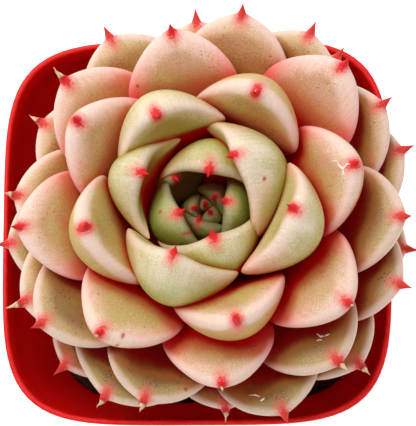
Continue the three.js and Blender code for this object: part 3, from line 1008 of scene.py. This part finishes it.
@dataclass
class Leaf:
    """One thick leaf: spoon-shaped, narrow at its root, with a hard point on its tip."""

    habit: Habit
    number: int
    sides: int = 32
    blade_rings: int = 12
    tip_rings: int = 14
    mucro_rings: int = 6
    widest_at: float = 0.66
    neck_width: float = 0.23
    neck_thickness: float = 0.36
    neck_round: float = 0.9
    tip_round: float = 2.2
    body_round: float = 2.4
    body_fullness: float = 0.6
    cupped_by: float = 0.55
    upper_share: float = 0.4
    upper_round: float = 1.1
    mucro_taper: float = 1.4
    mucro_foot: float = 2.0
    weld: int = 3
    probe: float = 0.004
    spot_share: float = 1 / 7
    least_spot: float = 0.4
    page_gap: float = 40.0
    swell_length: float = 6.0
    ripple_length: float = 2.2
    ripple_share: float = 0.35
    wobble: float = 0.1
    calm_tip: float = 0.08
    crack: float = 0.35
    crack_length: float = 0.45

    def __post_init__(self) -> None:
        """Works out the leaf's own sizes from its number."""
        habit, number = self.habit, self.number
        height = at(habit.base_height, number)
        start = Vector((max(at(habit.stem, height) - habit.base_sink, 0.0), height))
        reach = at(habit.tip_radius, number) + habit.grown_long.get(number, 0)
        end = Vector((reach, at(habit.tip_height, number)))
        chord = (end - start).length

        def arm(rise: Table, pull: Table) -> Vector:
            """Gives how far, and which way, one end pulls the middle line."""
            angle = math.radians(at(rise, number))
            return Vector((math.cos(angle), math.sin(angle))) * at(pull, number) * chord

        base_pull = start + arm(habit.base_rise, habit.base_pull)
        tip_pull = end - arm(habit.tip_rise, habit.tip_pull)
        self.spine = Spine(start, base_pull, tip_pull, end)
        self.half_width = at(habit.width, number) / 2
        self.full_thickness = at(habit.thickness, number)
        self.full_cup = at(habit.cup, number)
        self.fill = at(habit.fill, number)
        self.taper = at(habit.taper, number)
        self.mucro_radius = at(habit.point_radius, number)
        self.mucro_length = at(habit.point_length, number) + habit.long_points.get(number, 0)
        self.lean = habit.tip_lean.get(number, 0) * 2 * self.half_width
        self.tip = Tip.DRY if number in habit.dry_tips else Tip.FRESH

    def stations(self) -> list[tuple[float, float]]:
        """Lists where the leaf's rings lie, from root to tip.

        Returns:
            For each, its share of the blade's length and how far it is past the blade's end.
        """
        blade = [self.widest_at * step / self.blade_rings for step in range(self.blade_rings)]
        tip = [
            self.widest_at + (1 - self.widest_at) * math.sin(math.pi / 2 * step / self.tip_rings)
            for step in range(self.tip_rings + 1)
        ]
        past = [self.mucro_length * step / self.mucro_rings for step in range(1, self.mucro_rings)]
        rows = [(0.0, 0.0)] + [(share, 0.0) for share in blade + tip]
        return rows + [(1.0, beyond) for beyond in past] + [(1.0, self.mucro_length)]

    def outline(self, share: float) -> tuple[float, float]:
        """Gives how wide and how thick the blade is.

        Args:
            share: The share of the blade's length.

        Returns:
            The width and the thickness there, as shares of the full ones.
        """
        if share < self.widest_at:
            rise = smoothstep(share, 0, self.widest_at)
            width = self.neck_width + (1 - self.neck_width) * rise**self.neck_round
            return width, self.neck_thickness + (1 - self.neck_thickness) * rise
        fall = (share - self.widest_at) / (1 - self.widest_at)
        body = max(1 - fall**self.body_round, 0.0) ** self.body_fullness
        width = max(1 - fall**self.tip_round, 0.0) ** self.taper
        return width, body * (self.neck_thickness + (1 - self.neck_thickness) * body)

    def margin(self, share: float, side: float) -> float:
        """Gives how far inside the leaf's outline a place is.

        Args:
            share: The share of the blade's length.
            side: How far the place is from the keel, in millimetres.

        Returns:
            The distance to the outline, in millimetres.
        """
        half = self.outline(share)[0] * self.half_width
        before = self.outline(max(share - self.probe, 0.0))[0] * self.half_width
        slope = (before - half) / (self.probe * self.spine.length)
        return max(half - abs(side), 0.0) / math.hypot(1.0, slope)

    def surface(self, share: float, past: float, angle: float) -> tuple[Vector, float]:
        """Finds a point of the skin in the plant's frame.

        Args:
            share: The share of the blade's length.
            past: How far the point is past the blade's end.
            angle: The direction from the middle line: 0 and pi are the margins.

        Returns:
            The point, in millimetres, and how far it is from the keel.
        """
        distance = past + (share - 1) * self.spine.length
        left = min(max(1 - distance / self.mucro_length, 0), self.mucro_foot)
        spike = self.mucro_radius * left**self.mucro_taper
        width, thickness = self.outline(share)

        def welded(blade: float) -> float:
            """Merges a size of the blade with that of the hard point."""
            return (blade**self.weld + spike**self.weld) ** (1 / self.weld)

        across = welded(width * self.half_width)
        upper = welded(thickness * self.full_thickness * self.upper_share)
        lower = welded(thickness * self.full_thickness * (1 - self.upper_share))
        cos, sin = math.cos(angle), math.sin(angle)
        side = across * cos
        cup = self.full_cup * smoothstep(share, 0, self.cupped_by)
        lift = cup * (side / self.half_width) ** 2
        if sin > 0:
            lift += upper * sin**self.upper_round + cup * self.fill * (across * sin / self.half_width) ** 2
        else:
            lift += lower * sin
        point, along = self.spine.frame_at(share)
        point = point + along * past + Vector((-along.y, along.x)) * lift
        leant = side + self.lean * share * share
        turn = self.habit.azimuth(self.number)
        place = Vector((
            self.habit.centre[0] + point.x * math.cos(turn) - leant * math.sin(turn),
            self.habit.centre[1] + point.x * math.sin(turn) + leant * math.cos(turn),
            point.y,
        ))
        return place, side

    def shape(self) -> bmesh.types.BMesh:
        """Shapes a sphere into the leaf, and notes on each vertex where on the leaf it is.

        Returns:
            The leaf's mesh, in metres.
        """
        stations = self.stations()
        rings = len(stations) - 1
        shape = bmesh.new()
        bmesh.ops.create_uvsphere(shape, u_segments=self.sides, v_segments=rings, radius=1.0)
        layers = {name: layer_of(shape, name) for name in LEAF_VALUES}
        blade = shape.verts.layers.float_vector.new("blade")
        marked = [shape.verts.layers.float_vector.new(name) for name in MARK_NAMES]
        own = self.habit.tinge(self.number) | {"dried": self.tip.value}
        page = self.page_gap * self.habit.count(self.number)
        spots = [*self.habit.marks.get(self.number, ()), *[(0, -self.page_gap)] * len(marked)]
        length = self.spine.length
        spot_size = min(max(self.half_width * self.spot_share, self.least_spot), 1.0)
        tip = (self.surface(1.0, 0.0, 0.0)[0] + self.surface(1.0, 0.0, math.pi)[0]) / 2
        for vert in shape.verts:
            turn = math.acos(min(max(vert.co.z, -1.0), 1.0)) / math.pi
            share, past = stations[rings - round(turn * rings)]
            angle = math.atan2(vert.co.y, vert.co.x)
            place, side = self.surface(share, past, angle)
            if math.hypot(vert.co.x, vert.co.y) < 1e-4:
                opposite, _ = self.surface(share, past, angle + math.pi)
                place, side = (place + opposite) / 2, 0.0
            behind = 0.0 if past else math.sqrt(max((place - tip).length_squared - side * side, 0.0))
            where = {
                "along": share + past / length,
                "edge": self.margin(share, side),
                "skin": math.sin(angle),
                "aside": side / spot_size,
                "behind": behind / spot_size,
            }
            for name, value in (own | where).items():
                vert[layers[name]] = value
            vert[blade] = Vector((side, length * share + past, page))
            for layer, spot in zip(marked, spots):
                vert[layer] = Vector((*spot, page))
            vert.co = place * MM
        bmesh.ops.recalc_face_normals(shape, faces=shape.faces)
        if shape.calc_volume(signed=True) < 0:
            bmesh.ops.reverse_faces(shape, faces=shape.faces)
        shape.normal_update()
        return shape

    def roughen(self, shape: bmesh.types.BMesh) -> None:
        """Gives the skin the faint unevenness of a grown leaf, and a dry point its cracks.

        Args:
            shape: The leaf's mesh.
        """
        along, up = layer_of(shape, "along"), layer_of(shape, "up")
        for vert in shape.verts:
            vert[up] = vert.normal.z
            swell = noise.noise(vert.co / (self.swell_length * MM) + Vector((0, 0, self.number)))
            ripple = noise.noise(vert.co / (self.ripple_length * MM) + Vector((self.number, 0, 0)))
            uneven = swell + self.ripple_share * ripple
            calm = smoothstep(1 - vert[along], 0.0, self.calm_tip)
            vert.co += vert.normal * uneven * self.wobble * calm * MM
            if self.tip is Tip.DRY and vert[along] > 1.0:
                vert.co += noise.noise_vector(vert.co / (self.crack_length * MM)) * self.crack * MM


@dataclass
class Welts:
    """The healed scratches on one leaf, as thin welts on its upper face."""

    leaf: Leaf
    width: float = 0.34
    height: float = 0.16
    sides: int = 8
    steps: int = 4
    probe: float = 0.2
    blunt: float = 0.12
    swell: float = 0.9
    swell_length: float = 0.5

    def _seat(self, across: float, along: float) -> Vector:
        """Finds a place on the leaf's upper face.

        Args:
            across: How far across the leaf it is, in millimetres.
            along: How far along the leaf it is, in millimetres.

        Returns:
            The place, in millimetres.
        """
        share = min(along / self.leaf.spine.length, 1.0)
        half = self.leaf.outline(share)[0] * self.leaf.half_width
        angle = math.acos(min(max(across / half, -1.0), 1.0))
        return self.leaf.surface(share, 0.0, angle)[0]

    def _upright(self, across: float, along: float) -> Vector:
        """Finds which way the leaf's upper face looks.

        Args:
            across: How far across the leaf, in millimetres.
            along: How far along the leaf, in millimetres.

        Returns:
            The direction away from the skin.
        """
        step = self.probe
        over = self._seat(across + step, along) - self._seat(across - step, along)
        on = self._seat(across, along + step) - self._seat(across, along - step)
        return on.cross(over).normalized()

    def shape(self) -> bmesh.types.BMesh:
        """Draws each stroke as a tube, flat against the skin and thin at its ends.

        Returns:
            The strokes' mesh, in metres.
        """
        shape = bmesh.new()
        for stroke in self.leaf.habit.scratches[self.leaf.number]:
            loft(shape, self.sides, self._rings(stroke), self._skin)
        return shape

    def _rings(self, stroke: Stroke) -> list[tuple[Vector, Vector, Vector]]:
        """Lays out one stroke's rings.

        Args:
            stroke: The places that it runs through.

        Returns:
            For each ring its middle, how far it reaches sideways and how far it rises.
        """
        corners = [Vector(place) for place in stroke]
        spots = [
            start.lerp(end, step / self.steps)
            for start, end in zip(corners, corners[1:])
            for step in range(self.steps)
        ]
        spots.append(corners[-1])
        seats = [self._seat(*spot) for spot in spots]
        last = len(seats) - 1
        rings = []
        for index, (spot, seat) in enumerate(zip(spots, seats)):
            ahead = seats[min(index + 1, last)] - seats[max(index - 1, 0)]
            upright = self._upright(*spot)
            beside = ahead.cross(upright).normalized()
            uneven = 0.75 + self.swell * noise.noise(seat / self.swell_length)
            size = max(math.sin(math.pi * index / last), self.blunt) ** 0.5 * uneven
            rings.append((seat, beside * self.width / 2 * size, upright * self.height * size))
        return rings

    def _skin(self, ring: tuple[Vector, Vector, Vector], angle: float) -> Vector:
        """Gives the place on a stroke's ring in one direction."""
        seat, out, rise = ring
        return seat + out * math.cos(angle) + rise * math.sin(angle)


@dataclass
class Rosette:
    """All the leaves, and how much sky and lamp each part sees, for painted light and shade."""

    habit: Habit
    rays: int = 24
    reach: float = 16.0
    clear: float = 0.12
    soften: int = 2
    lamp_rays: int = 8
    lamp_spread: float = 0.22
    lamp_share: float = 0.35
    leaves: list[tuple[Leaf, bmesh.types.BMesh]] = field(default_factory=list)

    def grow(self) -> None:
        """Shapes every leaf."""
        for number in range(self.habit.first, self.habit.last + 1):
            leaf = Leaf(self.habit, number)
            shape = leaf.shape()
            leaf.roughen(shape)
            shape.normal_update()
            self.leaves.append((leaf, shape))

    def shade(self, others: Iterable[bmesh.types.BMesh]) -> None:
        """Notes how much sky and lamp each vertex sees, which painted light and shade follow.

        Args:
            others: What else stands in the way.
        """
        corners: list[Vector] = []
        faces: list[list[int]] = []
        for shape in [shape for _, shape in self.leaves] + list(others):
            shape.verts.index_update()
            start = len(corners)
            corners.extend(vert.co.copy() for vert in shape.verts)
            faces.extend([start + vert.index for vert in face.verts] for face in shape.faces)
        tree = BVHTree.FromPolygons(corners, faces)
        fan, beams = self._fan(), self._beams()

        def seen(start: Vector, directions: list[Vector]) -> float:
            """Gives the share of the directions in which nothing is near."""
            clear = [tree.ray_cast(start, way, self.reach * MM)[0] is None for way in directions]
            return sum(clear) / len(directions)

        for _, shape in self.leaves:
            sky = layer_of(shape, "sky")
            for vert in shape.verts:
                turn = Vector((0, 0, 1)).rotation_difference(vert.normal)
                start = vert.co + vert.normal * self.clear * MM
                open_sky = seen(start, [turn @ direction for direction in fan])
                # The lamp's share makes the painted shade fall as cast shadows away from the lamp.
                vert[sky] = open_sky + (seen(start, beams) - open_sky) * self.lamp_share
            self._soften(shape, sky)

    def _fan(self) -> list[Vector]:
        """Spreads directions over a hemisphere, closer together towards its middle."""
        return [around(spread, turn, math.sqrt(1 - spread * spread)) for spread, turn in spiral(self.rays)]

    def _beams(self) -> list[Vector]:
        """Spreads directions over the wide lamp."""
        offsets = [around(self.lamp_spread * spread, turn) for spread, turn in spiral(self.lamp_rays)]
        return [(Vector(LAMP).normalized() + offset).normalized() for offset in offsets]

    def _soften(self, shape: bmesh.types.BMesh, sky: bmesh.types.BMLayerItem) -> None:
        """Evens out the steps between neighbouring vertices.

        Args:
            shape: The leaf's mesh.
            sky: The number to even out.
        """
        for _ in range(self.soften):
            smooth = {}
            for vert in shape.verts:
                near = [edge.other_vert(vert)[sky] for edge in vert.link_edges]
                smooth[vert] = (vert[sky] + sum(near) / len(near)) / 2
            for vert, value in smooth.items():
                vert[sky] = value

    def dress(self) -> None:
        """Finishes every leaf as a piece, and the welts on the scratched ones."""
        materials = {zone: FINISHES[zone].material(zone.slot) for zone in Zone}
        scar = ScarFinish().material()
        for leaf, shape in self.leaves:
            zone = self.habit.zone(leaf.number)
            count = self.habit.count(leaf.number)
            node = f"{zone.slot}_{count:02d}"
            finished(f"leaf_{count:02d}", shape, materials[zone], [node], rounds=1)
            if leaf.number in self.habit.scratches:
                finished(f"welts_{count:02d}", Welts(leaf).shape(), scar)


# The pot and what fills it


@dataclass
class Pot:
    """The square, tapered pot with its thin lip, the band under it and its drain holes."""

    height: float = 55.0
    top_half: float = 30.0
    base_half: float = 21.0
    wall: float = 0.8
    floor: float = 1.2
    foot: float = 0.8
    band_height: float = 6.0
    band_proud: float = 0.8
    band_round: float = 0.25
    band_flare: float = 0.3
    band_straight: float = 2.6
    band_seam: float = 0.1
    lip: float = 0.35
    lip_inside: tuple[tuple[float, float, float], ...] = ((0.12, 1.2, 0.25), (0.45, 3.0, 0.0))
    floor_round: float = 1.0
    top_square: float = 4.6
    base_square: float = 4.0
    sides: int = 160
    drain_radius: float = 2.5
    drain_offset: float = 10.0
    drain_sides: int = 32
    burr: float = 0.07
    burr_length: float = 1.7

    def square_at(self, z: float) -> float:
        """Gives how square the pot is at one height."""
        return self.base_square + (self.top_square - self.base_square) * z / self.height

    def wall_half(self, z: float) -> float:
        """Gives the outer half width of the wall at one height, below the band."""
        under = self.top_half - self.band_flare - self.band_proud
        return self.base_half + (under - self.base_half) * z / (self.height - self.band_height)

    def profile(self) -> list[tuple[float, float, float]]:
        """Lists the wall's section from the underside up, over the lip and down inside.

        Returns:
            For each point its half width, its height and how much of the lip's wear it has.
        """
        under = self.height - self.band_height
        band = self.top_half - self.band_flare
        inner = self.top_half - self.wall
        middle = self.top_half - self.wall / 2
        floor_half = self.wall_half(self.floor) - self.wall
        foot_turns = [math.pi / 2 * step / 4 for step in range(5)]
        lip_turns = [math.pi * step / 8 for step in range(9)]
        return [
            *((self.base_half * share, 0.0, 0.0) for share in (0.3, 0.65, 0.9)),
            *(
                (
                    self.base_half - self.foot * (1 - math.sin(turn)),
                    self.foot * (1 - math.cos(turn)),
                    0.0,
                )
                for turn in foot_turns
            ),
            *((self.wall_half(under * share), under * share, 0.0) for share in (0.1, 0.4, 0.7, 0.95)),
            (self.wall_half(under), under - self.band_seam, 0.0),
            (band - self.band_round, under + self.band_round, 0.0),
            (band, under + self.band_proud, 0.0),
            (band + self.band_flare / 2, self.height - self.band_straight, 0.0),
            *(
                (middle + self.wall / 2 * math.cos(turn), self.height - self.lip * (1 - math.sin(turn)), 1.0)
                for turn in lip_turns
            ),
            *((inner - inwards, self.height - down, worn) for inwards, down, worn in self.lip_inside),
            *(
                (self.wall_half(under * share) - self.wall, under * share, 0.0)
                for share in (1.0, 0.7, 0.4, 0.15)
            ),
            (floor_half, self.floor + self.floor_round, 0.0),
            (floor_half - self.floor_round, self.floor, 0.0),
        ]

    def shape(self) -> bmesh.types.BMesh:
        """Draws the wall through its section, each ring a rounded square.

        Returns:
            The pot's mesh, in metres, without its drain holes.
        """
        shape = bmesh.new()
        lip = layer_of(shape, "lip")
        rows = self.profile()
        for ring, (_, _, worn) in zip(loft(shape, self.sides, rows, self._skin), rows):
            for vert in ring:
                vert[lip] = worn
        return shape

    def _skin(self, row: tuple[float, float, float], angle: float) -> Vector:
        """Finds a place on the wall, with the small burrs of a scuffed lip.

        Args:
            row: The half width, the height and the share of lip wear and painted highlight there.
            angle: The direction from the pot's middle.

        Returns:
            The place, in millimetres.
        """
        half, z, worn = row
        place = around(half * square_reach(angle, self.square_at(z)), angle, z)
        return place + Vector((0, 0, worn * self.burr * noise.noise(place / self.burr_length)))

    def drill(self, piece: bpy.types.Object) -> None:
        """Cuts the drain holes through the floor.

        Args:
            piece: The pot.
        """
        tools = bmesh.new()
        for side_x in (-1, 1):
            for side_y in (-1, 1):
                where = Vector((side_x * self.drain_offset, side_y * self.drain_offset, self.floor / 2))
                bmesh.ops.create_cone(
                    tools, cap_ends=True, segments=self.drain_sides, radius1=self.drain_radius * MM,
                    radius2=self.drain_radius * MM, depth=4 * self.floor * MM,
                    matrix=Matrix.Translation(where * MM),
                )
        cutter = placed(mesh_of("drills", tools))
        cut = piece.modifiers.new("drains", "BOOLEAN")
        cut.object = cutter
        cut.solver = "EXACT"
        bpy.context.view_layer.update()
        whole = piece.evaluated_get(bpy.context.evaluated_depsgraph_get())
        drilled = bpy.data.meshes.new_from_object(whole)
        piece.modifiers.remove(cut)
        piece.data = drilled
        bpy.data.objects.remove(cutter)


@dataclass
class SoilBed:
    """The crumbly soil, settled well below the lip, with loose grit on it."""

    pot: Pot
    top: float = 34.0
    relief: float = 0.7
    edge: float = 1.2
    gap: float = 0.3
    sides: int = 96
    rings: int = 34
    lump: float = 0.32
    lump_length: float = 0.9
    hole: float = 4.5
    crumbs: int = 520
    crumb_seed: int = 7
    crumb_sizes: tuple[float, float] = (0.3, 0.95)
    crumb_rise: float = 0.3
    crumb_rough: float = 0.16
    crumb_rough_length: float = 0.5
    wall_clear: float = 1.6

    def height_at(self, x: float, y: float) -> float:
        """Gives the height of the soil's surface: long and short waves, and lumps on them.

        Args:
            x: How far right of the pot's middle, in millimetres.
            y: How far behind the pot's middle, in millimetres.

        Returns:
            The height, in millimetres.
        """
        coarse = math.sin(0.52 * x + 1.3) * math.cos(0.47 * y - 0.4)
        fine = math.sin(1.31 * x - 0.7 * y) * math.cos(1.13 * y + 0.6 * x)
        lump = noise.noise(Vector((x, y, 3.0)) / self.lump_length)
        return self.top + self.relief * (0.6 * coarse + 0.4 * fine) + self.lump * lump

    def shape(self) -> bmesh.types.BMesh:
        """Draws the bed up from the pot's floor and in over its top.

        Returns:
            The bed's mesh, in metres.
        """
        inset = self.pot.wall + self.gap
        top_half = self.pot.wall_half(self.top) - inset - self.edge / 3
        top_square = self.pot.square_at(self.top)
        rows: list[tuple[float, float, float | None]] = [
            (self.pot.wall_half(z) - inset, self.pot.square_at(z), z)
            for z in (self.pot.floor + self.gap, self.top - self.edge)
        ]
        for step in range(self.rings):
            share = 1 - step / self.rings
            rows.append((top_half * share, 2 + (top_square - 2) * share, None))
        shape = bmesh.new()
        loft(shape, self.sides, rows, self._skin)
        return shape

    def _skin(self, row: tuple[float, float, float | None], angle: float) -> Vector:
        """Finds a place on the bed.

        Args:
            row: The half width, how square the bed is and the height, or none on its top.
            angle: The direction from the pot's middle.

        Returns:
            The place, in millimetres.
        """
        half, square, z = row
        place = around(half * square_reach(angle, square), angle)
        place.z = self.height_at(place.x, place.y) if z is None else z
        return place

    def grit(self, centre: Place) -> bmesh.types.BMesh:
        """Scatters small angular crumbs over the bed, clear of the stem and the pot.

        Args:
            centre: Where the stem stands.

        Returns:
            The crumbs' mesh, in metres.
        """
        draw = random.Random(self.crumb_seed)
        shape = bmesh.new()
        half = self.pot.wall_half(self.top) - self.pot.wall - self.wall_clear
        made = 0
        while made < self.crumbs:
            x, y = draw.uniform(-half, half), draw.uniform(-half, half)
            size = draw.uniform(*self.crumb_sizes)
            turn = Matrix.Rotation(draw.uniform(0, math.tau), 4, "Z")
            squash = Matrix.Diagonal((1.0, draw.uniform(0.6, 1.0), draw.uniform(0.5, 0.9), 1.0))
            reach = half * square_reach(math.atan2(y, x), self.pot.square_at(self.top))
            beside_stem = math.hypot(x - centre[0], y - centre[1]) < self.hole + size
            if beside_stem or math.hypot(x, y) > reach:
                continue
            where = Vector((x, y, self.height_at(x, y) + self.crumb_rise * size))
            bmesh.ops.create_icosphere(
                shape, subdivisions=1, radius=size * MM,
                matrix=Matrix.Translation(where * MM) @ turn @ squash,
            )
            made += 1
        for vert in shape.verts:
            rough = noise.noise_vector(vert.co / (self.crumb_rough_length * MM))
            vert.co += rough * self.crumb_rough * MM
        return shape


@dataclass
class Stem:
    """The short stem, from its tap root to the crown that the leaves grow from."""

    habit: Habit
    sides: int = 40
    steps: int = 70
    ridge: float = 0.22
    scar_rate: float = 1.45
    scar_wander: float = 0.6
    crown: float = 2.0
    crown_flat: float = 0.2

    def shape(self) -> bmesh.types.BMesh:
        """Draws a circle up the stem's outline.

        Returns:
            The stem's mesh, in metres.
        """
        low, high = self.habit.stem[0][0], self.habit.stem_top
        rows = [low + (high - low) * step / self.steps for step in range(self.steps + 1)]
        shape = bmesh.new()
        loft(shape, self.sides, rows, self._skin)
        return shape

    def _skin(self, z: float, angle: float) -> Vector:
        """Finds a place on the stem, with a faint step under each old leaf and a domed crown.

        Args:
            z: The height.
            angle: The direction from the stem's middle.

        Returns:
            The place, in millimetres.
        """
        scar = abs(math.sin(self.scar_rate * z + self.scar_wander * math.sin(3 * angle)))
        radius = at(self.habit.stem, z) - self.ridge * (1 - scar)
        dome = self.crown * math.sqrt(max(self.habit.stem_top - z, 0.0)) + self.crown_flat
        return Vector((*self.habit.centre, 0)) + around(min(radius, dome), angle, z)


# Light, floor and camera


@dataclass
class Studio:
    """A plain pale floor, soft light from above and the camera that looks down on the plant."""

    aim: tuple[float, float, float] = (1.93, 2.56, 55.0)
    distance: float = 320.0
    tilt: float = 10.0
    bearing: float = 28.0
    lens: float = 175.55
    sensor: float = 36.0
    clip: float = 10.0
    floor_size: float = 3.0
    floor_squares: int = 4
    sky: float = 0.58
    key_energy: float = 2.1
    key_size: float = 0.35

    def camera(self) -> None:
        """Places the camera, leaning back from straight above."""
        tilt, bearing = math.radians(self.tilt), math.radians(self.bearing)
        back = around(math.sin(tilt), bearing - math.pi / 2, math.cos(tilt))
        right = Vector((0, 1, 0)).cross(back).normalized()
        turn = Matrix((right, back.cross(right), back)).transposed().to_4x4()
        data = bpy.data.cameras.new("camera")
        data.lens = self.lens
        data.sensor_width = self.sensor
        data.clip_start = self.clip * MM
        camera = placed(data)
        camera.matrix_world = Matrix.Translation((Vector(self.aim) + back * self.distance) * MM) @ turn
        bpy.context.scene.camera = camera

    def lights(self) -> None:
        """Sets a bright, even sky and one large soft lamp."""
        world = bpy.data.worlds.new("studio")
        world.use_nodes = True
        background = world.node_tree.nodes["Background"]
        background.inputs["Color"].default_value = (1.0, 1.0, 1.0, 1.0)
        background.inputs["Strength"].default_value = self.sky
        bpy.context.scene.world = world
        data = bpy.data.lights.new("key", "AREA")
        data.energy = self.key_energy
        data.size = self.key_size
        look = Vector((0.0, 0.0, self.aim[2] * MM)) - Vector(LAMP)
        turn = look.to_track_quat("-Z", "Y").to_matrix().to_4x4()
        placed(data).matrix_world = Matrix.Translation(LAMP) @ turn

    def floor(self) -> None:
        """Lays the floor."""
        shape = bmesh.new()
        squares = self.floor_squares
        bmesh.ops.create_grid(shape, x_segments=squares, y_segments=squares, size=self.floor_size / 2)
        floor = placed(mesh_of("floor", shape))
        floor.data.materials.append(FloorFinish().material())

    def build(self) -> None:
        """Sets up the studio."""
        self.camera()
        self.lights()
        self.floor()
        bpy.context.scene.view_settings.view_transform = "Standard"


def main() -> None:
    """Builds the studio and the part."""
    logging.basicConfig(level=logging.INFO)
    noise.seed_set(NOISE_SEED)
    Studio().build()
    habit = Habit()
    pot = Pot()
    bed = SoilBed(pot)
    stem_shape = Stem(habit).shape()
    pot_shape = pot.shape()
    bed_shape = bed.shape()
    rosette = Rosette(habit)
    rosette.grow()
    rosette.shade([pot_shape, bed_shape, stem_shape])
    rosette.dress()
    bark, soil, plastic = BarkFinish(), SoilFinish(), PlasticFinish()
    finished("stem_skin", stem_shape, bark.material(), ["stem"])
    finished("soil_bed", bed_shape, soil.material("soil", 0.0), ["soil"])
    finished("soil_grit", bed.grit(habit.centre), soil.material("grit", 0.5))
    pot.drill(finished("pot_shell", pot_shape, plastic.material(), ["pot"]))


if __name__ == "__main__":
    main()
